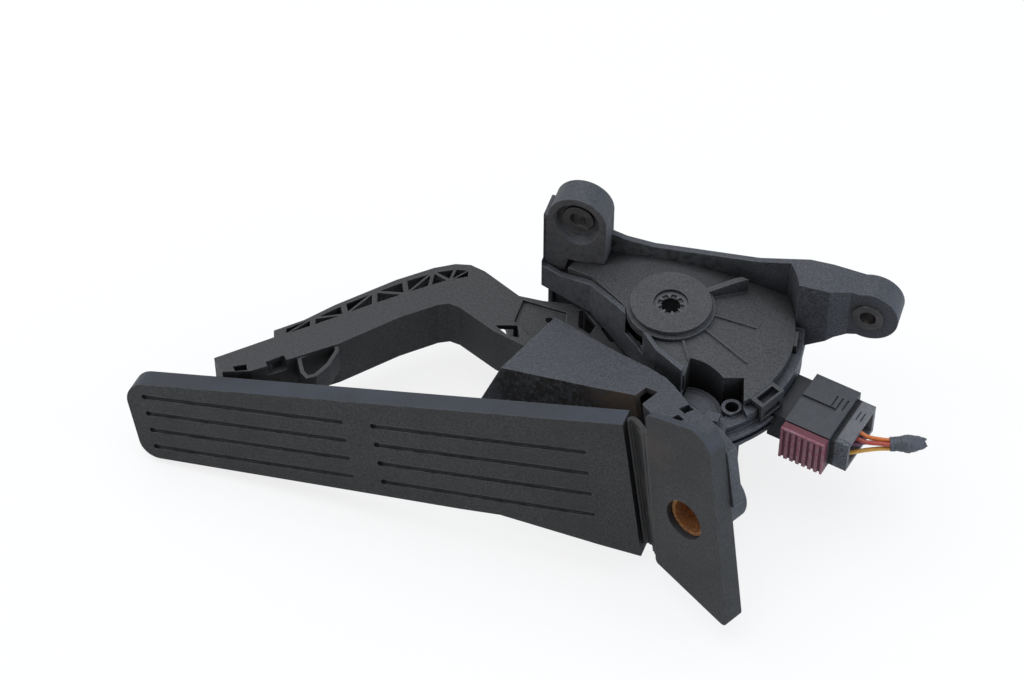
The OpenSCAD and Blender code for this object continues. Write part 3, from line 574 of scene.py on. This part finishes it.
# Colour and route of each wire, from inside the plug to inside the tape
WIRES = {
    "wire_orange": ((0.62, 0.17, 0.035), from_pivot(
        (-25, -21.5, -81), (-25, -22.5, -86), (-27, -22.5, -90), (-28, -21.4, -95),
        (-28.3, -20.2, -100), (-28, -18.8, -105), (-27.8, -17.2, -110))),
    "wire_yellow": ((0.68, 0.36, 0.06), from_pivot(
        (-33, -29, -79), (-33, -28, -84), (-31.5, -26, -90), (-31, -24, -95),
        (-30.7, -22.5, -100), (-30.2, -21, -105), (-30, -19.5, -110))),
    "wire_violet": ((0.22, 0.08, 0.16), from_pivot(
        (-30, -25, -80), (-30.5, -25, -85), (-30, -23, -90), (-30.5, -21.4, -95),
        (-30.7, -20.2, -100), (-30.2, -18.8, -105), (-30, -17.2, -110))),
    "wire_red": ((0.4, 0.06, 0.035), from_pivot(
        (-27, -23.5, -80.5), (-27, -24.7, -86), (-27.5, -25, -90.5), (-28, -23.8, -95),
        (-28.3, -22.5, -100), (-28, -21, -105), (-27.8, -19.5, -110))),
}
# The tape's middle line and its radius at equal steps along it
TAPE_LINE = from_pivot(
    (-29.5, -21.4, -99.2), (-29.3, -20.6, -102), (-29, -19.5, -106), (-29, -18, -110), (-29, -17, -113)
)
TAPE_RADIUS = (0.0031, 0.0032, 0.0040, 0.0035, 0.0023)


class PEDAL_OT_stage(bpy.types.Operator):
    """Pale floor under the pedal's side, soft light and the camera"""

    bl_idname = "pedal.stage"
    bl_label = "Stage"

    def execute(self, context):
        self.camera(context)
        self.floor()
        for lamp in LAMPS:
            self.lamp(*lamp)
        self.world(context.scene)
        context.scene.view_settings.view_transform = "Standard"
        return {"FINISHED"}

    def camera(self, context):
        data = bpy.data.cameras.new("camera")
        data.sensor_width = SENSOR_WIDTH
        data.lens = PIXELS_PER_FOCUS / PHOTO_WIDTH * data.sensor_width
        camera = bpy.data.objects.new("camera", data)
        right, up = Vector(CAMERA_RIGHT), Vector(CAMERA_UP)
        axes = Matrix((right, up, right.cross(up))).transposed()
        camera.matrix_world = Matrix.Translation(CAMERA_PLACE) @ axes.to_4x4()
        context.scene.collection.objects.link(camera)
        context.scene.camera = camera

    def floor(self):
        level = CAD_BOX[0][0] - FLOOR_GAP
        mesh = bpy.data.meshes.new("floor")
        reach = FLOOR_REACH
        corners = [(level, y * reach, z * reach) for y, z in ((-1, -1), (1, -1), (1, 1), (-1, 1))]
        mesh.from_pydata(corners, [], [(0, 1, 2, 3)])
        floor = bpy.data.objects.new("floor", mesh)
        bpy.context.scene.collection.objects.link(floor)
        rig.stage(floor)
        f = Finish("floor_paper")
        grain = f.noise(0.01, 2.0)
        paper = f.finish(f.mix(grain * 0.1, [0.93] * 3, [0.9] * 3), 0.9)
        # Seen from behind, the floor is clear
        back = f.add("ShaderNodeNewGeometry", output=6)
        clear = f.add("ShaderNodeBsdfTransparent")
        glow = f.add("ShaderNodeEmission", {}, {"Color": (1.0, 1.0, 1.0), "Strength": 1.0})
        seen = f.add("ShaderNodeLightPath")
        body = f.add("ShaderNodeMixShader", {}, {0: seen * 0.8, 1: Link(f, f.shader.outputs[0]), 2: glow})
        out = f.add("ShaderNodeMixShader", {}, {0: back, 1: body, 2: clear})
        f.feed(f.tree.nodes["Material Output"].inputs["Surface"], out)
        mesh.materials.append(paper)

    def lamp(self, name, place, size, power, colour):
        data = bpy.data.lights.new(name, "AREA")
        data.size, data.energy, data.color = size, power, colour
        lamp = bpy.data.objects.new(name, data)
        lamp.location = place
        aim = LAMPS_AIM - lamp.location
        lamp.rotation_euler = aim.to_track_quat("-Z", "Y").to_euler()
        bpy.context.scene.collection.objects.link(lamp)

    def world(self, scene):
        world = bpy.data.worlds.new("studio")
        scene.world = world
        world.use_nodes = True
        tree = world.node_tree
        light, back = tree.nodes["Background"], tree.nodes.new("ShaderNodeBackground")
        light.inputs["Color"].default_value = (0.9, 0.94, 1.0, 1.0)
        light.inputs["Strength"].default_value = SKY_STRENGTH
        back.inputs["Strength"].default_value = 1.0
        back.inputs["Color"].default_value = (1.0, 1.0, 1.0, 1.0)
        path, mix = tree.nodes.new("ShaderNodeLightPath"), tree.nodes.new("ShaderNodeMixShader")
        tree.links.new(path.outputs["Is Camera Ray"], mix.inputs[0])
        tree.links.new(light.outputs[0], mix.inputs[1])
        tree.links.new(back.outputs[0], mix.inputs[2])
        tree.links.new(mix.outputs[0], tree.nodes["World Output"].inputs["Surface"])


class PEDAL_OT_lead(bpy.types.Operator):
    """Cut wires that leave the plug, and the tape round their ends"""

    bl_idname = "pedal.lead"
    bl_label = "Wires"

    # Height in metres, number round the tape and start of each wave of the torn end
    TEARS = ((0.0004, 3, 1.0), (0.0003, 8, 0.0), (0.0002, 17, 0.0))

    def execute(self, context):
        tape = self.tape()
        for name, (colour, points) in WIRES.items():
            line = smooth_line(points, 6)
            data = bpy.data.curves.new(name + "_lead", "CURVE")
            data.dimensions = "3D"
            data.bevel_depth = sizes().wire / 2
            data.bevel_resolution = 6
            data.use_fill_caps = True
            spline = data.splines.new("POLY")
            spline.points.add(len(line) - 1)
            for point, place in zip(spline.points, line):
                point.co = (*place, 1.0)
            data.materials.append(insulation(name + "_insulation", colour))
            wire = bpy.data.objects.new(name + "_lead", data)
            context.scene.collection.objects.link(wire)
            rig.replaces(wire, name)
            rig.ride(wire, "module")
            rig.slot(wire, node_slot(name))
            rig.cord(
                wire, line[0], line_length(line), sizes().wire, "bare", "limp", "loose",
                with_pieces=[tape] if name == "wire_yellow" else (),
            )
        return {"FINISHED"}

    def tape(self):
        """Wound tape: overlapping turns, wrinkles along it and a pinched, torn end."""
        rings, sides, turns = 64, 56, 5.5
        luck = random.Random(7)
        # How often each wrinkle goes round, how fast it turns along the tape and where it starts
        waves = [(luck.randint(2, 7), luck.uniform(3, 16), luck.uniform(0, math.tau)) for _ in range(7)]
        line = smooth_line(TAPE_LINE, 8)
        work = bmesh.new()
        loops = []
        for i in range(rings + 1):
            share = i / rings
            centre, ahead = along(line, share)
            side = ahead.cross(Vector((1, 0, 0))).normalized()
            up = side.cross(ahead)
            place = share * (len(TAPE_RADIUS) - 1)
            k = min(int(place), len(TAPE_RADIUS) - 2)
            radius = TAPE_RADIUS[k] + (TAPE_RADIUS[k + 1] - TAPE_RADIUS[k]) * (place - k)
            loop = []
            for j in range(sides):
                a = math.tau * j / sides
                wrinkle = sum(math.sin(n * a + m * share + p) for n, m, p in waves) / len(waves)
                layer = (share * turns + a / math.tau) % 1.0
                # Each turn starts with a groove and then thickens
                step = 0.00022 * (layer < 0.16)
                r = radius * (0.99 + 0.16 * wrinkle * (0.3 + share)) - step + 0.00012 * layer
                hump = math.exp(-(((share - 0.42) / 0.2) ** 2))
                tall = 0.84 + 0.14 * hump if math.sin(a) > 0 else 0.8
                # The last third is pinched flat and torn
                pinch = max(0.0, (share - 0.7) / 0.3)
                flat = 1 - 0.3 * pinch**1.5
                torn = sum(size * math.sin(n * a + start) for size, n, start in self.TEARS) * pinch**3
                across = side * math.cos(a) * r * flat + up * math.sin(a) * r * tall
                loop.append(work.verts.new(centre + across + ahead * torn))
            loops.append(loop)
        # Both ends turn inward: how deep, and by what share of the radius
        inside = []
        for loop, depth in ((loops[-1], 0.0035), (loops[0], 0.0015)):
            middle = sum((v.co for v in loop), Vector()) / sides
            inward = (loops[rings // 2][0].co - loop[0].co).normalized() * depth
            inside.append([work.verts.new(v.co.lerp(middle, 0.16) + inward) for v in loop])
        chain = [inside[1], *loops, inside[0]]
        join_loops(work, chain)
        close_ends(work, chain)
        cloth = wrapped_tape("cloth_tape", (0.07, 0.076, 0.09))
        tape = new_piece("tape_wrap_turns", work, cloth, smooth_quads=True, smooth_rest=True)
        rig.replaces(tape, "tape_wrap")
        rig.ride(tape, "module")
        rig.slot(tape, node_slot("tape_wrap"))
        return tape


class PEDAL_OT_strip(bpy.types.Operator):
    """Flexible strip that joins the pad to the foot plate, ribbed along its length"""

    bl_idname = "pedal.strip"
    bl_label = "Hinge strip"

    # Left and right end, then the heights between which the strip bends
    ENDS = (-0.0620, -0.0008)
    BEND = (-0.0052, -0.0008)
    THICKNESS = 0.0022
    RIDGE_HEIGHT = 0.00022
    # Points along the outline for one ridge, columns across and points for each stretch of the outline
    RIDGE_STEPS = 6.0
    COLUMNS = 30
    STEPS = 7

    def execute(self, context):
        work = bmesh.new()
        outward = -PAD_FRAME.to_3x3().col[1]
        left, right = self.ENDS
        loops = []
        for i in range(self.COLUMNS + 1):
            x = left + (right - left) * i / self.COLUMNS
            # The foot plate's upper edge, which rises towards the left
            edge = -0.0117 - 0.0739 * (x - 0.0098)
            front = smooth_line(self.section(x, edge, 0.0), self.STEPS)
            back = smooth_line(self.section(x, edge, self.THICKNESS), self.STEPS)
            for k, point in enumerate(front):
                ridge = self.RIDGE_HEIGHT * math.sin(math.tau * k / self.RIDGE_STEPS)
                front[k] = point + outward * ridge
            loops.append([work.verts.new(v) for v in (*front, *reversed(back))])
        join_loops(work, loops)
        close_ends(work, loops)
        strip = new_piece("flexible_strip", work, self.finish(), smooth_quads=True)
        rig.replaces(strip, "film_hinge")
        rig.slot(strip, node_slot("film_hinge"))
        start, end = (PAD_FRAME @ Vector((-0.03, 0.0066, z)) for z in self.BEND)
        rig.blend(strip, "module", "pad", start, end)
        return {"FINISHED"}

    def section(self, x, edge, deep):
        """Front or back outline from the foot plate's edge to the pad's end, at one place across."""
        foot = [(0.0010, edge), (0.0013, edge * 0.86), (0.0026, edge * 0.5), (0.0044, -0.0013)]
        pad = [(0.0050, -0.0010), (0.0040, 0.0007)]
        return [FOOT_FRAME @ Vector((x, y + deep, z)) for y, z in foot] + [
            PAD_FRAME @ Vector((x, y + deep, z)) for y, z in pad
        ]

    def finish(self):
        base = colours().pad
        f = Finish("strip_moulding")
        streaks = f.noise(0.0008, 3.0, 0.7)
        dust = f.noise(0.006, 5.0, 0.7).ramp(0.4, 0.7)
        shade = f.mix(dust * 0.5, tint(base, 1.2), STRIP_DUST)
        shade = f.mix(streaks * 0.4, shade, tint(base, 0.6))
        return f.finish(shade, dust * 0.2 + 0.45, streaks, 0.00006)


class PEDAL_OT_mouldings(bpy.types.Operator):
    """Grained black finish of the frame, lever and sensor cover"""

    bl_idname = "pedal.mouldings"
    bl_label = "Mouldings"

    def execute(self, context):
        base = colours().moulding
        edge = sizes().soft_edge
        stains_and_shade = [
            ((0.0, -0.012, 0.0), 0.012, 0.04, 0.5, GRIT),
            ((-0.022, -0.0025, -0.02), 0.02, 0.065, 0.6, PALE_DUST),
            # Painted shade: a large near-black spot
            ((-0.0300, -0.0790, -0.0140), 0.026, 0.036, 1.0, PAINTED_SHADE),
            ((-0.0180, -0.0815, -0.0385), 0.005, 0.018, 1.0, BROWN),
            ((-0.0200, -0.0850, -0.0450), 0.003, 0.010, 1.0, BROWN),
        ]
        grey = sum(base) / 3
        lever, cover = [grey * 0.62] * 3, [grey * 0.8, grey * 0.8, grey * 0.82]
        dress(grained_moulding("frame_moulding", base, 0.5, edge, stains_and_shade=stains_and_shade), "main_frame")
        dress(grained_moulding("lever_moulding", lever, 0.5, edge), "lever_arm")
        dress(grained_moulding("cover_moulding", cover, 0.48, 0.0005, grain=0.0004), "sensor_cover")
        return {"FINISHED"}


class PEDAL_OT_pillar(bpy.types.Operator):
    """Filled front of the upper ear's pillar, with the dish below the ear's bush"""

    bl_idname = "pedal.pillar"
    bl_label = "Ear pillar"

    # Points (x, z) from the ear's bore, clear of the sensor cover, inside the ear and the side wall
    OUTLINE = (
        (0.0025, -0.0104), (0.0025, -0.0121), (0.0, -0.0124), (-0.0215, -0.0125),
        (-0.0236, -0.0030), (-0.0236, 0.0036), (-0.0305, 0.0052), (-0.0325, 0.0144),
        (-0.0035, 0.0144), (0.0, 0.0126), (0.0025, 0.0121), (0.0025, 0.0104),
    )
    # Levels of y: the pillar's face, the dish's floor and inside the flange
    FRONT, FLOOR, BACK = -0.0119, -0.0091, -0.0022
    DISH_TOP = 0.0002
    BUSH_RADIUS = 0.0067
    DISH_RADIUS = 0.0092

    def execute(self, context):
        work = bmesh.new()
        dish, rim = self.arc(0.0116, self.DISH_RADIUS), self.arc(0.0136, 0.0099)
        front, back = [*self.OUTLINE, *rim], [*self.OUTLINE, *dish]
        block = self.loops(work, [(self.FRONT, front), (self.FLOOR, back), (self.BACK, back)])
        join_loops(work, block)
        close_ends(work, block)
        edge = self.round(0.0119, self.DISH_RADIUS)
        bush = self.round(self.BUSH_RADIUS, self.BUSH_RADIUS)
        ring = self.loops(
            work, [(self.FLOOR, edge), (self.BACK, edge), (self.BACK, bush), (self.FLOOR, bush)]
        )
        join_loops(work, [*ring, ring[0]])
        pillar = new_piece("ear_pillar_front", work, NODES["main_frame"].data.materials[0])
        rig.ride(pillar, "module")
        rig.slot(pillar, node_slot("main_frame"))
        return {"FINISHED"}

    def arc(self, deep, wide):
        """Half an ellipse below the bore, from the left side of the ear to its right."""
        steps = 28
        turns = [math.pi * k / steps for k in range(steps + 1)]
        return [(self.DISH_TOP - deep * math.sin(a), wide * math.cos(a)) for a in turns]

    def round(self, deep, wide):
        """The arc closed by half a circle above the bore."""
        return [*self.arc(deep, wide), *reversed(self.arc(-wide, wide)[1:-1])]

    def loops(self, work, levels):
        """Loops of vertices from outlines of (x, z) points at levels of y."""
        return [[work.verts.new((x, y, z)) for x, z in outline] for y, outline in levels]


class PEDAL_OT_tread(bpy.types.Operator):
    """Grained finish of the pad and the foot plate"""

    bl_idname = "pedal.tread"
    bl_label = "Pad and foot plate"

    def execute(self, context):
        base = colours().pad
        under_sleeve = FOOT_FRAME @ Vector((-0.006, 0.0, -0.014))
        # The pad's up-turned faces take a bluish painted sheen with their dust
        pad = grained_moulding(
            "pad_moulding", base, 0.5, sizes().soft_edge, grain=0.0007, depth=0.0001, top_light_and_dust=1.0,
            stains_and_shade=[(under_sleeve, 0.002, 0.014, 0.45, GRIT)], shine=0.35, top_light_and_dust_colour=(0.046, 0.052, 0.066),
        )
        dress(pad, "pedal_pad", "foot_plate")
        return {"FINISHED"}


class PEDAL_OT_metalwork(bpy.types.Operator):
    """Bushes, sleeve, shaft, springs, star ring and bearings"""

    bl_idname = "pedal.metalwork"
    bl_label = "Metalwork"

    def execute(self, context):
        rust = (0.2, 0.08, 0.03)
        dress(worn_metal("bush_steel", (0.16, 0.155, 0.15), (0.1, 0.075, 0.06), 0.35, 0.45), "ear_bushes")
        dress(worn_metal("sleeve_metal", (0.6, 0.3, 0.12), rust, 0.6, 0.4, 0.8), "base_sleeve")
        # Painted shade: the shaft is near black and without shine, so the star ring's gaps stay dark
        shaft = worn_metal(
            "shaft_steel", (0.003, 0.003, 0.003), (0.012, 0.01, 0.009), 0.3, 0.9, 0.0, Specular_IOR_Level=0.05
        )
        dress(shaft, "pivot_shaft")
        spring = worn_metal("spring_steel", (0.28, 0.29, 0.31), (0.12, 0.1, 0.09), 0.2, 0.35)
        dress(spring, "return_spring_outer", "return_spring_inner")
        dress(worn_metal("ring_steel", (0.09, 0.09, 0.095), (0.06, 0.05, 0.045), 0.3, 0.5, 0.4), "star_ring")
        dress(worn_metal("bearing_bronze", (0.4, 0.26, 0.12), (0.2, 0.14, 0.08), 0.3, 0.4), "pivot_bearings")
        dress(worn_metal("contact_brass", (0.6, 0.45, 0.18), (0.3, 0.22, 0.1), 0.1, 0.3), "contact_pins")
        return {"FINISHED"}


class PEDAL_OT_connector(bpy.types.Operator):
    """Socket, plug, lock slide and rear cap"""

    bl_idname = "pedal.connector"
    bl_label = "Connector"

    def execute(self, context):
        # Painted shade: the socket under the plug is darker than the frame's moulding
        dress(smooth_plastic("socket_plastic", (0.009, 0.0095, 0.011), 0.4), "connector_socket")
        dress(smooth_plastic("plug_plastic", (0.036, 0.038, 0.043), 0.4, 0.2), "plug_body")
        dress(self.lock(), "plug_lock")
        dress(self.cap(), "plug_cap")
        return {"FINISHED"}

    def lock(self):
        """Dark red slide: chalky crests, darker in the valleys between its ribs."""
        base = colours().lock
        f = Finish("lock_plastic")
        across = f.local(PLUG_FRAME)[1]
        crest = 1 - across.ramp(-0.0163, -0.0152)
        chalk = f.noise(0.0014, 5.0, 0.75).ramp(0.38, 0.62)
        shade = f.mix(crest, tint(base, 0.45), base)
        shade = f.mix(crest * chalk * 0.75, shade, (0.3, 0.21, 0.24))
        return f.finish(shade, chalk * 0.2 + 0.4, chalk, 0.00004, SMALL_EDGE)

    def cap(self):
        """Grey rear cap: painted shade for the gap towards the body and for two slots on top, and a dark grained lower
        side.
        """
        base = colours().cap
        dark = (0.004, 0.004, 0.005)
        f = Finish("cap_plastic")
        _, y, z = f.local(PLUG_FRAME)
        dust = f.noise(0.003, 5.0, 0.7).ramp(0.4, 0.7)
        speck = f.noise(0.0009, 4.0, 0.8).ramp(0.42, 0.6)
        shade = f.mix(dust * 0.4, base, tint(base, 0.6))
        # Painted shade: the gap towards the body and the two slots on top are near black
        gap = z.ramp(-0.0224, -0.0216)
        slots = f.between(z, -0.0243, -0.0237) + f.between(z, -0.0263, -0.0257)
        slots = slots * f.between(y, 0.004, 0.009)
        lower = (1 - y.ramp(-0.0085, -0.0075)) * 0.9
        shade = f.mix(lower, shade, f.mix(speck, (0.02, 0.022, 0.03), (0.13, 0.14, 0.16)))
        shade = f.mix((gap + slots).clamped(), shade, dark)
        return f.finish(shade, dust * 0.15 + 0.5, speck, 0.00006, SMALL_EDGE)


class PEDAL_OT_inner(bpy.types.Operator):
    """Hidden pieces: board, seal, friction ring, magnet ring and shoe"""

    bl_idname = "pedal.inner"
    bl_label = "Inner pieces"

    def execute(self, context):
        dress(smooth_plastic("board_laminate", (0.02, 0.09, 0.045), 0.4), "circuit_board")
        dress(smooth_plastic("seal_rubber", (0.02, 0.02, 0.02), 0.75), "cover_seal")
        dress(smooth_plastic("friction_lining", (0.13, 0.09, 0.06), 0.8), "friction_ring")
        dress(smooth_plastic("rotor_plastic", (0.06, 0.06, 0.065), 0.5), "magnet_rotor")
        dress(smooth_plastic("shoe_plastic", (0.05, 0.05, 0.05), 0.4), "lever_shoe")
        return {"FINISHED"}


class PEDAL_PT_panel(bpy.types.Panel):
    """Sidebar panel that builds the pedal's looks"""

    bl_idname = "PEDAL_PT_panel"
    bl_label = "Pedal"
    bl_space_type = "VIEW_3D"
    bl_region_type = "UI"
    bl_category = "Pedal"

    def draw(self, context):
        for group in (context.scene.pedal_colours, context.scene.pedal_sizes):
            for name in group.__annotations__:
                self.layout.prop(group, name)
        for operator in OPERATORS:
            self.layout.operator(operator.bl_idname)


OPERATORS = (
    PEDAL_OT_stage,
    PEDAL_OT_lead,
    PEDAL_OT_strip,
    PEDAL_OT_mouldings,
    PEDAL_OT_pillar,
    PEDAL_OT_tread,
    PEDAL_OT_metalwork,
    PEDAL_OT_connector,
    PEDAL_OT_inner,
)
CLASSES = (PedalColours, PedalSizes, *OPERATORS, PEDAL_PT_panel)


def register():
    for c in CLASSES:
        bpy.utils.register_class(c)
    bpy.types.Scene.pedal_colours = bpy.props.PointerProperty(type=PedalColours)
    bpy.types.Scene.pedal_sizes = bpy.props.PointerProperty(type=PedalSizes)


def unregister():
    del bpy.types.Scene.pedal_colours
    del bpy.types.Scene.pedal_sizes
    for c in reversed(CLASSES):
        bpy.utils.unregister_class(c)


def main():
    register()
    for operator in OPERATORS:
        group, name = operator.bl_idname.split(".")
        getattr(getattr(bpy.ops, group), name)()
    with open("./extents.json", "w") as out:
        json.dump({"cad": [list(c) for c in CAD_BOX], "visual": [list(c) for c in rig.bounds()]}, out)


if __name__ == "__main__":
    main()
